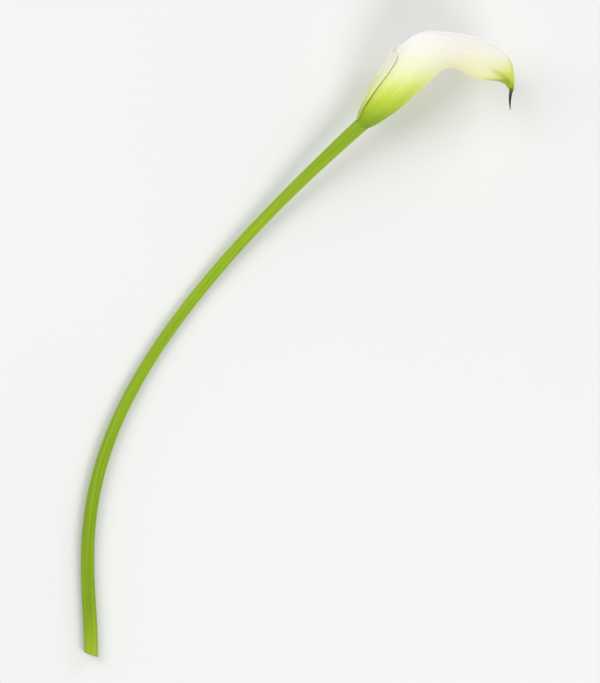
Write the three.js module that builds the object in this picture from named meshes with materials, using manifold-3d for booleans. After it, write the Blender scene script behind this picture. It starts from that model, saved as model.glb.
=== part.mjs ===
// A white arum lily flower, picked and lying on a surface: a curved leafless stem, one rolled petal-like
// spathe that ends in a pointed tail, and the finger-shaped spadix inside it.
// Millimetres, +Z up. The flower rests on three low points: the cut end of the stem, the belly of the
// stem's bend and the lower lobe of the spathe. Looked at from above, the stem runs up and to the right.

import * as THREE from 'three';
import { mergeVertices } from 'three/addons/utils/BufferGeometryUtils.js';
import Module from 'manifold-3d';

// Stem: its centre line seen from above is one cubic curve from the cut end to the spathe.
const STEM_FOOT = [0, 0];
const STEM_FOOT_PULL = [0, 69];
const STEM_TOP_PULL = [-34.1, 143.7];
const STEM_TOP = [163.8, 321.7];
const STEM_RADIUS = 3.4;
const STEM_CUT_RADIUS = 4.2;
const STEM_TOP_RADIUS = 4.5;
const STEM_SWELL_LENGTH = 100;
const STEM_TURN_LENGTH = 22;
const STEM_REST = 0.58;
const STEM_LIFT = 0.7;
const STEM_STEPS = 46;
const STEM_SIDES = 14;
const STEM_TANGENT_REACH = 0.004;
const CUT_SLANT = 0.35;
const NECK_RADIUS = 2.3;
const NECK_HEIGHT = 3;

// Spathe: how its axis lies, and the sheet that is rolled round it. Sweeps are degrees round the axis.
const AXIS_LEAN = 50;
const AXIS_PITCH = 10.5;
const BASE_RADIUS = 4.1;
const SHEET_THICKNESS = 0.9;
const SPIRAL_STEP = 0.75;
const SPIRAL_FOOT_SHARE = 0.72;
const SPIRAL_FOOT_LENGTH = 14;
const INNER_SWEEP = 200;
const OUTER_SWEEP_BASE = 220;
const OUTER_SWEEP_RIM = 246;
const CORNER_ROUNDNESS = 5;
const SHEET_CELLS_ROUND = 50;
const SHEET_CELLS_ALONG = 25;
const CELL_CROWDING = 1.2;
const VEIN_STEPS = 40;
const TOUCH_GAP = 0.3;

// Veins: each runs from the foot to the rim at an angle to the axis that changes on the way.
// A bend is the degrees gained, the length at which it starts and the length at which it ends.
const FOOT_BULGE = 15;
const FOOT_BULGE_LENGTH = 1.6;
const BACK_FLARE = 17;
const BACK_BENDS = [[-10, 12, 34], [72, 56, 72], [-24, 73, 90], [56, 98, 107]];
const SIDE_FLARE = 13;
const SIDE_BENDS = [[-5, 12, 34]];
const SIDE_OPENING = [48, 46, 82];
const SIDE_OPENING_BACK_LOSS = 12;
const FRONT_FLARE = 12.2;
const FRONT_BENDS = [[-3, 25, 40], [8, 38, 54]];
const RIM_CURL = 30;
const RIM_CURL_START = 8;
const RIM_CURL_END = 2;
const BACK_SHARPNESS = 9;
const FRONT_SHARPNESS = 2;

// How long the veins are: longest at the back, and drawn out into shoulders beside the tip.
const VEIN_MEAN = 78;
const VEIN_BACK_GAIN = 27.3;
const VEIN_SIDE_GAIN = 0.5;
const SHOULDER = 9.5;
const SHOULDER_SHARPNESS = 6;
const TIP_NOTCH = 1;
const TIP_NOTCH_SHARPNESS = 14;

// The limb narrows towards the tip, and its free rim waves softly.
const LIMB_TAPER = 0.7;
const LIMB_TAPER_FROM = 28;
const LIMB_TAPER_TO = 66;
const RIM_WAVE = 0.7;
const RIM_WAVE_SHARPNESS = 6;
const RIM_WAVES = 3;
const RIM_WAVE_TURN = 40;

// Tail: the dark pointed end of the midrib.
const TAIL_ROOT = 10;
const TAIL_ROOT_RADIUS = 0.3;
const TAIL_KEEL = 0.7;
const TAIL_LENGTH = 16;
const TAIL_RADIUS = 1.6;
const TAIL_TIP_RADIUS = 0.35;
const TAIL_FALL = 148;
const TAIL_BEND_LENGTH = 5;
const TAIL_SIDES = 8;
const TAIL_STEPS = 14;

// Spadix: a finger covered with rows of tiny flowers.
const SPADIX_LENGTH = 43;
const SPADIX_RADIUS = 3.2;
const SPADIX_FOOT_RADIUS = 2.2;
const SPADIX_FOOT_END = 0.02;
const SPADIX_SWELL_END = 0.14;
const SPADIX_DOME_START = 0.9;
const SPADIX_DOME_ROUNDNESS = 0.97;
const FLORETS_START = 0.04;
const FLORETS_FULL = 0.1;
const FLORETS_ROUND = 10;
const FLORET_ROW = 1.9;
const FLORET_HEIGHT = 0.45;
const SPADIX_SAMPLES_ROUND = 30;
const SPADIX_SAMPLES_ROW = 2;

const { clamp, degToRad, lerp, smoothstep } = THREE.MathUtils;
const cosDeg = (angle) => Math.cos(degToRad(angle));
const sinDeg = (angle) => Math.sin(degToRad(angle));
const bend = (length, [gain, from, to]) => gain * smoothstep(length, from, to);
const bendSum = (length, bends) => bends.reduce((sum, each) => sum + bend(length, each), 0);

// A tube through rings of equal size, closed at both ends by fans.
function ringSolid(rings) {
  const sides = rings[0].length;
  const vertices = rings.flat();
  const indices = [];
  for (let ring = 0; ring < rings.length - 1; ring += 1) {
    for (let side = 0; side < sides; side += 1) {
      const next = (side + 1) % sides;
      const a = ring * sides + side;
      const b = ring * sides + next;
      const c = a + sides;
      const d = b + sides;
      indices.push(a, b, d, a, d, c);
    }
  }
  const centreOf = (ring) => ring.reduce((sum, p) => sum.add(p), new THREE.Vector3()).divideScalar(sides);
  const first = vertices.push(centreOf(rings[0])) - 1;
  const last = vertices.push(centreOf(rings.at(-1))) - 1;
  const top = (rings.length - 1) * sides;
  for (let side = 0; side < sides; side += 1) {
    const next = (side + 1) % sides;
    indices.push(first, next, side, last, top + side, top + next);
  }
  const geometry = new THREE.BufferGeometry().setFromPoints(vertices);
  geometry.setIndex(indices);
  return geometry;
}

// A circle of points round a centre, square to a direction, its first point on the given side.
function circleOfPoints(centre, direction, side, radius, sides) {
  const along = direction.clone().normalize();
  const across = side.clone().addScaledVector(along, -side.dot(along)).normalize();
  const up = new THREE.Vector3().crossVectors(along, across);
  return Array.from({ length: sides }, (_, index) => {
    const turn = (index / sides) * 2 * Math.PI;
    const point = centre.clone().addScaledVector(across, radius * Math.cos(turn));
    return point.addScaledVector(up, radius * Math.sin(turn));
  });
}

// Spathe: a vein at each angle round the axis. Turn 0 is the back, where the tail is, and 180 the front.

// How far each vein runs before it reaches the rim.
function veinLength(turn) {
  const facing = cosDeg(turn);
  const toBack = Math.max(facing, 0);
  const shoulder = toBack ** SHOULDER_SHARPNESS - TIP_NOTCH * toBack ** TIP_NOTCH_SHARPNESS;
  return VEIN_MEAN + VEIN_BACK_GAIN * facing - VEIN_SIDE_GAIN * cosDeg(2 * turn) + SHOULDER * shoulder;
}

// The angle between a vein and the axis, at a length from the foot.
function veinAngle(turn, length) {
  const toBack = Math.max(cosDeg(turn), 0);
  const toFront = Math.max(-cosDeg(turn), 0);
  const back = toBack ** BACK_SHARPNESS;
  const front = toFront ** FRONT_SHARPNESS;
  const side = 1 - back - front;
  const bulge = FOOT_BULGE * (length / FOOT_BULGE_LENGTH) * Math.exp(1 - length / FOOT_BULGE_LENGTH);
  const rim = veinLength(turn);
  const rimCurl = RIM_CURL * smoothstep(length, rim - RIM_CURL_START, rim + RIM_CURL_END);
  const [sideGain, sideFrom, sideTo] = SIDE_OPENING;
  const opening = (sideGain - SIDE_OPENING_BACK_LOSS * toBack) * smoothstep(length, sideFrom, sideTo);
  const backAngle = BACK_FLARE + bendSum(length, BACK_BENDS);
  const sideAngle = SIDE_FLARE + bendSum(length, SIDE_BENDS) + opening + rimCurl;
  const frontAngle = FRONT_FLARE + bendSum(length, FRONT_BENDS);
  const start = smoothstep(length, 0, BASE_RADIUS / 2);
  return start * (bulge + back * backAngle + side * sideAngle + front * frontAngle);
}

// A point of the smooth surface before it is given its spiral and its thickness.
function veinPoint(turn, length) {
  const step = length / VEIN_STEPS;
  let radius = BASE_RADIUS;
  let height = 0;
  for (let index = 0; index < VEIN_STEPS; index += 1) {
    const angle = veinAngle(turn, (index + 0.5) * step);
    radius += sinDeg(angle) * step;
    height += cosDeg(angle) * step;
  }
  const back = radius * cosDeg(turn);
  const taper = 1 - LIMB_TAPER * smoothstep(back, LIMB_TAPER_FROM, LIMB_TAPER_TO);
  return new THREE.Vector3(back, radius * sinDeg(turn) * taper, height);
}

function veinNormal(turn, length) {
  const reach = 0.5;
  const below = Math.max(length - reach, 0);
  const round = veinPoint(turn + reach, length).sub(veinPoint(turn - reach, length));
  const along = veinPoint(turn, below + 2 * reach).sub(veinPoint(turn, below));
  return round.cross(along).normalize();
}

// How far the sheet winds outward as it turns. At its foot it clings closer to the stem.
function spiral(turn, length) {
  const foot = lerp(SPIRAL_FOOT_SHARE, 1, smoothstep(length, 0, SPIRAL_FOOT_LENGTH));
  return ((SPIRAL_STEP * turn) / 180) * foot;
}

// The soft wave of the free rim, the same on both layers where they overlap.
function rimWave(turn, rise) {
  return RIM_WAVE * rise ** RIM_WAVE_SHARPNESS * sinDeg(RIM_WAVES * turn + RIM_WAVE_TURN);
}

// The sheet is a square of cells whose two upper corners are rounded off.
function sheetPlace(across, along) {
  const n = CORNER_ROUNDNESS;
  const reach = across * (1 - along ** n / 2) ** (1 / n);
  const rise = along * (1 - Math.abs(across) ** n / 2) ** (1 / n);
  const outerSweep = lerp(OUTER_SWEEP_BASE, OUTER_SWEEP_RIM, smoothstep(rise, 0, 1));
  const turn = reach * (reach > 0 ? outerSweep : INNER_SWEEP);
  return { turn, length: rise * veinLength(turn), rise };
}

function spatheSheet() {
  const faces = [[], []];
  for (let i = 0; i <= SHEET_CELLS_ROUND; i += 1) {
    const position = (2 * i) / SHEET_CELLS_ROUND - 1;
    const across = Math.sign(position) * Math.abs(position) ** CELL_CROWDING;
    for (let j = 0; j <= SHEET_CELLS_ALONG; j += 1) {
      const along = 1 - (1 - j / SHEET_CELLS_ALONG) ** CELL_CROWDING;
      const { turn, length, rise } = sheetPlace(across, along);
      const point = veinPoint(turn, length);
      const normal = veinNormal(turn, length);
      const middle = spiral(turn, length) + rimWave(turn, rise);
      faces[0].push(point.clone().addScaledVector(normal, middle + SHEET_THICKNESS / 2));
      faces[1].push(point.clone().addScaledVector(normal, middle - SHEET_THICKNESS / 2));
    }
  }
  const rows = SHEET_CELLS_ALONG + 1;
  const inner = faces[0].length;
  const at = (i, j, face) => i * rows + j + face * inner;
  const indices = [];
  for (let i = 0; i < SHEET_CELLS_ROUND; i += 1) {
    for (let j = 0; j < SHEET_CELLS_ALONG; j += 1) {
      const corners = [at(i, j, 0), at(i + 1, j, 0), at(i + 1, j + 1, 0), at(i, j + 1, 0)];
      const [a, b, c, d] = corners;
      const [e, f, g, h] = corners.map((corner) => corner + inner);
      indices.push(a, b, c, a, c, d, e, g, f, e, h, g);
    }
  }
  const closeEdge = (from, to) => indices.push(from, from + inner, to + inner, from, to + inner, to);
  for (let i = 0; i < SHEET_CELLS_ROUND; i += 1) {
    closeEdge(at(i, 0, 0), at(i + 1, 0, 0));
    closeEdge(at(i + 1, SHEET_CELLS_ALONG, 0), at(i, SHEET_CELLS_ALONG, 0));
  }
  for (let j = 0; j < SHEET_CELLS_ALONG; j += 1) {
    closeEdge(at(0, j + 1, 0), at(0, j, 0));
    closeEdge(at(SHEET_CELLS_ROUND, j, 0), at(SHEET_CELLS_ROUND, j + 1, 0));
  }
  const geometry = new THREE.BufferGeometry().setFromPoints(faces.flat());
  geometry.setIndex(indices);
  return geometry;
}

// The midrib's last stretch, which thickens out of the sheet, most of it on the outer side, and falls away
// as a point.
function tailSpike() {
  const rimLength = veinLength(0);
  const side = new THREE.Vector3(0, 1, 0);
  const rings = [];
  const place = veinPoint(0, rimLength - TAIL_ROOT);
  const step = (TAIL_ROOT + TAIL_LENGTH) / TAIL_STEPS;
  for (let index = 0; index <= TAIL_STEPS; index += 1) {
    const length = index * step;
    const beyond = length - TAIL_ROOT;
    const angle = beyond < 0 ? veinAngle(0, rimLength + beyond)
      : lerp(veinAngle(0, rimLength), TAIL_FALL, smoothstep(beyond, 0, TAIL_BEND_LENGTH));
    const direction = new THREE.Vector3(sinDeg(angle), 0, cosDeg(angle));
    const outward = new THREE.Vector3(cosDeg(angle), 0, -sinDeg(angle));
    const grown = lerp(TAIL_ROOT_RADIUS, TAIL_RADIUS, smoothstep(length, 0, TAIL_ROOT));
    const radius = beyond < 0 ? grown : lerp(TAIL_RADIUS, TAIL_TIP_RADIUS, beyond / TAIL_LENGTH);
    const keel = TAIL_KEEL * Math.max(grown - SHEET_THICKNESS / 2, 0);
    const wave = rimWave(0, Math.min(1 + beyond / rimLength, 1));
    const middle = place.clone().addScaledVector(outward, keel + wave);
    rings.push(circleOfPoints(middle, direction, side, radius, TAIL_SIDES));
    place.addScaledVector(direction, step);
  }
  return ringSolid(rings);
}

// Sheet and tail are joined into one closed body.
const wasm = await Module();
wasm.setup();

const SAME_PLACE = 1e-4;

function toSolid(geometry) {
  const bare = geometry.clone();
  bare.deleteAttribute('normal');
  bare.deleteAttribute('uv');
  const merged = mergeVertices(bare, SAME_PLACE);
  return new wasm.Manifold(new wasm.Mesh({
    numProp: 3,
    vertProperties: new Float32Array(merged.attributes.position.array),
    triVerts: new Uint32Array(merged.index.array),
  }));
}

function toGeometry(solid) {
  const mesh = solid.getMesh();
  const geometry = new THREE.BufferGeometry();
  geometry.setAttribute('position', new THREE.BufferAttribute(mesh.vertProperties, 3));
  geometry.setIndex(new THREE.BufferAttribute(mesh.triVerts, 1));
  return geometry;
}

const spatheShape = toGeometry(toSolid(spatheSheet()).add(toSolid(tailSpike())));

// Spadix: its foot stands on the neck of the stem.
function spadixShape() {
  const rows = Math.round(SPADIX_LENGTH / FLORET_ROW);
  const rings = [];
  const count = rows * SPADIX_SAMPLES_ROW;
  for (let level = 0; level <= count; level += 1) {
    const share = level / count;
    const row = Math.floor(level / SPADIX_SAMPLES_ROW);
    const inRow = (level / SPADIX_SAMPLES_ROW) % 1;
    const intoDome = clamp((share - SPADIX_DOME_START) / (1 - SPADIX_DOME_START), 0, 1);
    const dome = Math.sqrt(1 - (SPADIX_DOME_ROUNDNESS * intoDome) ** 2);
    const swell = smoothstep(share, SPADIX_FOOT_END, SPADIX_SWELL_END);
    const body = lerp(SPADIX_FOOT_RADIUS, SPADIX_RADIUS, swell) * dome;
    const ring = [];
    for (let index = 0; index < SPADIX_SAMPLES_ROUND; index += 1) {
      const turn = (index / SPADIX_SAMPLES_ROUND) * 2 * Math.PI;
      const bumpRound = (1 + Math.cos(FLORETS_ROUND * turn + Math.PI * row)) / 2;
      const bump = bumpRound * Math.sin(Math.PI * inRow) ** 2;
      const radius = body + FLORET_HEIGHT * bump * dome * smoothstep(share, FLORETS_START, FLORETS_FULL);
      ring.push(new THREE.Vector3(radius * Math.cos(turn), radius * Math.sin(turn), share * SPADIX_LENGTH));
    }
    rings.push(ring);
  }
  return ringSolid(rings);
}

// Where the bloom lies: its back is to the right and its two side lobes are above and below.
const bloomAxis = new THREE.Vector3(
  cosDeg(AXIS_PITCH) * cosDeg(AXIS_LEAN),
  cosDeg(AXIS_PITCH) * sinDeg(AXIS_LEAN),
  sinDeg(AXIS_PITCH),
);
const bloomBack = new THREE.Vector3(sinDeg(AXIS_LEAN), -cosDeg(AXIS_LEAN), 0);
const bloomDown = new THREE.Vector3().crossVectors(bloomAxis, bloomBack);
const bloomFrame = new THREE.Matrix4().makeBasis(bloomBack, bloomDown, bloomAxis);

const laidSpathe = new THREE.Box3().setFromBufferAttribute(
  spatheShape.clone().applyMatrix4(bloomFrame).attributes.position,
);
const bloomHeight = -laidSpathe.min.z - TOUCH_GAP * bloomAxis.z;

// Stem: low over the surface up to the belly of its bend, then rising to the bloom. STEM_FLAT is the share of
// the radius from its centre to the flat facet that it lies on.
const STEM_FLAT = Math.cos(Math.PI / STEM_SIDES);
const stemCurve = new THREE.CubicBezierCurve3(...[STEM_FOOT, STEM_FOOT_PULL, STEM_TOP_PULL, STEM_TOP]
  .map(([x, y]) => new THREE.Vector3(x, y, 0)));
const stemLength = stemCurve.getLength();
const stemRise = bloomHeight - STEM_RADIUS * STEM_FLAT;
const risePower = (Math.tan(degToRad(AXIS_PITCH)) * (1 - STEM_REST) * stemLength) / stemRise;

function stemRadius(share) {
  const fromTop = (1 - share) * stemLength;
  const swell = (STEM_TOP_RADIUS - STEM_RADIUS) * Math.max(1 - fromTop / STEM_SWELL_LENGTH, 0) ** 2;
  const foot = (STEM_CUT_RADIUS - STEM_RADIUS) * (1 - smoothstep(share, 0, STEM_REST));
  return STEM_RADIUS + swell + foot;
}

function stemPoint(share) {
  const point = stemCurve.getPointAt(share);
  if (share < STEM_REST) {
    point.z = stemRadius(share) * STEM_FLAT + STEM_LIFT * Math.sin((Math.PI * share) / STEM_REST) ** 2;
  } else {
    point.z = STEM_RADIUS * STEM_FLAT + stemRise * ((share - STEM_REST) / (1 - STEM_REST)) ** risePower;
  }
  return point;
}

function stemShape() {
  const level = new THREE.Vector3();
  const up = new THREE.Vector3(0, 0, 1);
  const rings = [];
  for (let index = 0; index <= STEM_STEPS; index += 1) {
    const share = index / STEM_STEPS;
    const behind = stemPoint(Math.max(share - STEM_TANGENT_REACH, 0));
    const ahead = stemPoint(Math.min(share + STEM_TANGENT_REACH, 1));
    const tangent = ahead.sub(behind).normalize();
    const toBloom = smoothstep(share, 1 - STEM_TURN_LENGTH / stemLength, 1);
    const direction = tangent.lerp(bloomAxis, toBloom).normalize();
    level.crossVectors(up, direction);
    const ring = circleOfPoints(stemPoint(share), direction, level, stemRadius(share), STEM_SIDES);
    if (index === 0) {
      const slant = (point) => CUT_SLANT * point.clone().sub(stemPoint(0)).dot(level);
      ring.forEach((point) => point.addScaledVector(direction, slant(point)));
    }
    rings.push(ring);
  }
  const top = stemPoint(1);
  const neckTop = top.clone().addScaledVector(bloomAxis, NECK_HEIGHT);
  rings.push(circleOfPoints(top, bloomAxis, level, NECK_RADIUS, STEM_SIDES));
  rings.push(circleOfPoints(neckTop, bloomAxis, level, NECK_RADIUS, STEM_SIDES));
  return ringSolid(rings);
}

// The three pieces of the flower

function piece(name, geometry, color, roughness) {
  const mesh = new THREE.Mesh(geometry, new THREE.MeshStandardMaterial({ color, roughness, metalness: 0 }));
  mesh.name = name;
  return mesh;
}

const stem = piece('stem', stemShape(), 0x8fb52c, 0.5);
const spathe = piece('spathe', spatheShape, 0xf4f2e0, 0.55);
const spadix = piece('spadix', spadixShape(), 0xe6b62f, 0.7);
spathe.position.z = TOUCH_GAP;
spadix.position.z = NECK_HEIGHT + TOUCH_GAP;

const bloom = new THREE.Group();
bloom.add(spathe, spadix);
bloom.quaternion.setFromRotationMatrix(bloomFrame);
bloom.position.copy(stemPoint(1));

const flower = new THREE.Group();
flower.add(stem, bloom);

// The origin is under the middle of the flower, on the surface it lies on.
const bounds = new THREE.Box3().setFromObject(flower, true);
const middle = bounds.getCenter(new THREE.Vector3());
flower.position.set(-middle.x, -middle.y, -bounds.min.z);

export default flower;
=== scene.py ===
"""Looks of a white arum lily, picked and lying on a pale surface.

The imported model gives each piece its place. Its stem, spathe and spadix are replaced by finer meshes of the
same form, with veins, florets and a cut face. Lengths are millimetres, angles are degrees, and the meshes
are made in metres.
"""
import math

import bpy
import numpy as np
from mathutils import Matrix, Vector


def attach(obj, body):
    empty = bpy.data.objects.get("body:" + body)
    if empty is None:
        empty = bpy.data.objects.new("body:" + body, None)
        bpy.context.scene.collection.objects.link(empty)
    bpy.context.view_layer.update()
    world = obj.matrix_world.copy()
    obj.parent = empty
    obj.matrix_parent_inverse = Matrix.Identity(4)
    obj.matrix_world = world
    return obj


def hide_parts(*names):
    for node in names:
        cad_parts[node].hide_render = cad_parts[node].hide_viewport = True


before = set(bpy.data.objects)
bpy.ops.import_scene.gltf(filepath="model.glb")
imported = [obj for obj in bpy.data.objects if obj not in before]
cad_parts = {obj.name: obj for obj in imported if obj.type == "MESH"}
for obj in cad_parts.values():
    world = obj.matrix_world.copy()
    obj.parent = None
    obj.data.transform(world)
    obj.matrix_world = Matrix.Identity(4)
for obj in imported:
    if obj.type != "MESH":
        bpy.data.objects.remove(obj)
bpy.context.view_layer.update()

METRES = 0.001

# Stem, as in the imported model: its centre line seen from above is one cubic curve.
STEM_FOOT = (0.0, 0.0)
STEM_FOOT_PULL = (0.0, 69.0)
STEM_TOP_PULL = (-34.1, 143.7)
STEM_TOP = (163.8, 321.7)
STEM_RADIUS = 3.4
STEM_CUT_RADIUS = 4.2
STEM_TOP_RADIUS = 4.5
STEM_SWELL_LENGTH = 100.0
STEM_TURN_LENGTH = 22.0
STEM_REST = 0.58
STEM_LIFT = 0.7
STEM_FACETS = 14
STEM_FLAT = math.cos(math.pi / STEM_FACETS)
CUT_SLANT = 0.35
CUT_SLANT_LENGTH = 8.0
NECK_RADIUS = 2.3
NECK_HEIGHT = 3.0
FLAT_END_DEPTH = 0.01
TOUCH_GAP = 0.3

# Stem, finer: soft ribs along the skin, a round shoulder up to the neck, and the cut face at its foot.
# A set of ribs is how many go round, their share of the height and their phase. A ring of the shoulder is its
# share of the radius and its height.
STEM_SAMPLES = 4001
STEM_STEPS = 420
STEM_SIDES = 56
STEM_TURNS = np.arange(STEM_SIDES) / STEM_SIDES * 2 * math.pi
STEM_RIBS = ((5, 0.5, 2.0), (9, 1.0, 0.0), (14, 0.7, 1.0))
STEM_RIB_HEIGHT = 0.018
NECK_SHOULDER = ((0.93, 0.25), (0.8, 0.45), (0.62, 0.8))
NECK_START = 1.6
CUT_RINGS = 12
CUT_EDGE = 0.93
CUT_MIDDLE = 0.02
CUT_HOLLOW = 0.45
CUT_HOLLOW_REACH = 0.25

# Spathe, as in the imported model: how its axis lies, and the sheet that is rolled round it.
AXIS_LEAN = 50.0
AXIS_PITCH = 10.5
BASE_RADIUS = 4.1
SHEET_THICKNESS = 0.9
SPIRAL_STEP = 0.75
SPIRAL_FOOT_SHARE = 0.72
SPIRAL_FOOT_LENGTH = 14.0
INNER_SWEEP = 200.0
OUTER_SWEEP_BASE = 220.0
OUTER_SWEEP_RIM = 246.0
CORNER_ROUNDNESS = 5.0
VEIN_STEPS = 40
NORMAL_REACH = 0.5

# Veins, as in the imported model. A bend is the degrees gained, and the lengths at which it starts and ends.
FOOT_BULGE = 15.0
FOOT_BULGE_LENGTH = 1.6
BACK_FLARE = 17.0
BACK_BENDS = ((-10, 12, 34), (72, 56, 72), (-24, 73, 90), (56, 98, 107))
SIDE_FLARE = 13.0
SIDE_BENDS = ((-5, 12, 34),)
SIDE_OPENING = (48, 46, 82)
SIDE_OPENING_BACK_LOSS = 12.0
FRONT_FLARE = 12.2
FRONT_BENDS = ((-3, 25, 40), (8, 38, 54))
RIM_CURL = 30.0
RIM_CURL_START = 8.0
RIM_CURL_END = 2.0
BACK_SHARPNESS = 9
FRONT_SHARPNESS = 2
VEIN_MEAN = 78.0
VEIN_BACK_GAIN = 27.3
VEIN_SIDE_GAIN = 0.5
SHOULDER = 9.5
SHOULDER_SHARPNESS = 6
TIP_NOTCH = 1.0
TIP_NOTCH_SHARPNESS = 14
LIMB_TAPER = 0.7
LIMB_TAPER_FROM = 28.0
LIMB_TAPER_TO = 66.0
RIM_WAVE = 0.7
RIM_WAVE_SHARPNESS = 6
RIM_WAVES = 3
RIM_WAVE_TURN = 40.0

# Spathe, finer: the sheet's cells crowd towards its edges, its rim thins and is rounded, and its foot clings
# to the stem. The rim ripples: a wave is how many go round, its turn and its share of the height.
SHEET_CELLS_ROUND = 360
SHEET_CELLS_ALONG = 114
ROUND_CROWDING = 1.45
ALONG_CROWDING = 1.3
RIM_THICKNESS = 0.5
RIM_THINNING = 14.0
RIM_ARC_STEPS = 5
FOOT_CORNER = 16.0
FOOT_CORNER_LENGTH = 3.0
FOOT_CLING = 0.15
RIPPLE = 0.22
RIPPLE_SHARPNESS = 10
RIPPLE_WAVES = ((7, 15, 1.0), (12, 80, 0.6))

# Spathe, finer: the veins stand out as soft ribs and curve towards the tip, the midrib is a low keel, and the
# rim is drawn out into the tail in a cusp. A span is the two values between which something comes in or goes.
# Degrees become millimetres with a rough radius, which grows from the tube's to the limb's.
VEIN_DRIFT = 0.9
VEIN_DRIFT_FROM = 0.4
CUSP = 6.5
CUSP_TURN = 5.0
RIB_TURN = 11.0
RIB_HEIGHT = 0.05
RIB_SPAN = (8.0, 50.0)
TUBE_RADIUS = 9.0
LIMB_RADIUS = 45.0
LIMB_RADIUS_SPAN = (30.0, 95.0)
KEEL_HEIGHT = 0.35
KEEL_WIDTH = 1.6
KEEL_SPAN = (30.0, 80.0)

# Spathe, finer: two folds run back from the tail's root and part. Their spans are shares of their length.
CREASE_DEPTH = 0.85
CREASE_WIDTH = 1.5
CREASE_LENGTH = 23.0
CREASE_TURN = 24.0
CREASE_BOW = 0.8
CREASE_RADIUS_LOSS = 12.0
CREASE_TAPER = 0.6
CREASE_START = (0.02, 0.2)
CREASE_END = (0.5, 1.0)

# Tail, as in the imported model, with finer steps and a round end. The sheet swells round its root.
TAIL_ROOT = 10.0
TAIL_ROOT_RADIUS = 0.3
TAIL_KEEL = 0.7
TAIL_LENGTH = 16.0
TAIL_RADIUS = 1.6
TAIL_TIP_RADIUS = 0.35
TAIL_TAPER = 0.8
TAIL_END_LENGTH = 0.7
TAIL_END_ROUNDNESS = 0.97
TAIL_END_POINT = 0.02
TAIL_FALL = 148.0
TAIL_BEND_LENGTH = 5.0
TAIL_SWAY = -13.0
TAIL_SIDES = 28
TAIL_STEPS = 72
SWELL_BEFORE_ROOT = 4.0
SWELL_PAST_ROOT = 2.0
SWELL_CUSP_SHARE = 0.7
SWELL_SIDE = 0.35
SWELL_ROUNDNESS = 3

# Spadix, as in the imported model, with smaller florets and ovaries below them.
SPADIX_LENGTH = 43.0
SPADIX_RADIUS = 3.2
SPADIX_FOOT_RADIUS = 2.2
SPADIX_FOOT_END = 0.02
SPADIX_SWELL_END = 0.14
SPADIX_DOME_START = 0.9
SPADIX_DOME_ROUNDNESS = 0.97
FLORETS_START = 0.04
FLORETS_FULL = 0.1
FLORETS_ROUND = 20
FLORET_ROW = 0.95
FLORET_HEIGHT = 0.4
FLORET_FLATNESS = 0.7
SPADIX_SAMPLES_ROUND = 160
SPADIX_SAMPLES_ROW = 7

# Floor, camera and light, in metres where they stand in the room. A lamp is its place, width and watts.
FLOOR_REACH = 6.0
FLOOR_DROP = 0.0002
CAMERA_DISTANCE = 1.7
FRAME_SHARE = 0.9
IMAGE_WIDTH = 600
IMAGE_HEIGHT = 683
SENSOR = 36.0
LAMPS = {
    "key": ((0.5, -0.95, 1.25), 0.9, 11.0),
    "fill": ((-0.9, 0.5, 1.1), 1.2, 9.2),
    "back": ((0.95, 1.0, 0.75), 1.0, 6.0),
}
WORLD_STRENGTH = 0.465


# Small sums

def smoothstep(value, low, high):
    share = np.clip((value - low) / (high - low), 0, 1)
    return share * share * (3 - 2 * share)


def bend_sum(length, bends):
    return sum(gain * smoothstep(length, start, end) for gain, start, end in bends)


def cos_deg(angle):
    return np.cos(np.radians(angle))


def sin_deg(angle):
    return np.sin(np.radians(angle))


def unit(vectors):
    return vectors / np.linalg.norm(vectors, axis=-1, keepdims=True)


def mix(low, high, share):
    return low + (high - low) * share


def bell(offset, width):
    return np.exp(-((offset / width) ** 2))


# Where the bloom lies: back, down and axis are the directions of its own frame.

def bloom_directions():
    lean, pitch = math.radians(AXIS_LEAN), math.radians(AXIS_PITCH)
    level = math.cos(pitch)
    axis = np.array([level * math.cos(lean), level * math.sin(lean), math.sin(pitch)])
    back = np.array([math.sin(lean), -math.cos(lean), 0.0])
    return np.array([back, np.cross(axis, back), axis])


def bloom_base(directions):
    """The middle of the stem's top, which is NECK_HEIGHT below the flat end of its neck."""
    points = np.array([v.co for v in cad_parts["stem"].data.vertices]) / METRES
    reach = points @ directions[2]
    neck = points[reach > reach.max() - FLAT_END_DEPTH].mean(axis=0)
    return neck - NECK_HEIGHT * directions[2]


DIRECTIONS = bloom_directions()
BLOOM_BASE = bloom_base(DIRECTIONS)


def laid(points):
    """Points of the bloom's own frame, placed where the bloom lies."""
    return points @ DIRECTIONS + BLOOM_BASE


# The spathe's surface: a vein at each turn round the axis, 0 at the back and 180 at the front.

def vein_length(turn):
    facing = cos_deg(turn)
    to_back = np.maximum(facing, 0)
    shoulder = to_back ** SHOULDER_SHARPNESS - TIP_NOTCH * to_back ** TIP_NOTCH_SHARPNESS
    return VEIN_MEAN + VEIN_BACK_GAIN * facing - VEIN_SIDE_GAIN * cos_deg(2 * turn) + SHOULDER * shoulder


RIM_LENGTH = float(vein_length(0.0))


def drawn_length(turn):
    """How far a vein runs when the rim is drawn out along the tail in a cusp."""
    return vein_length(turn) + CUSP * np.exp(-np.abs(turn) / CUSP_TURN)


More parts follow.
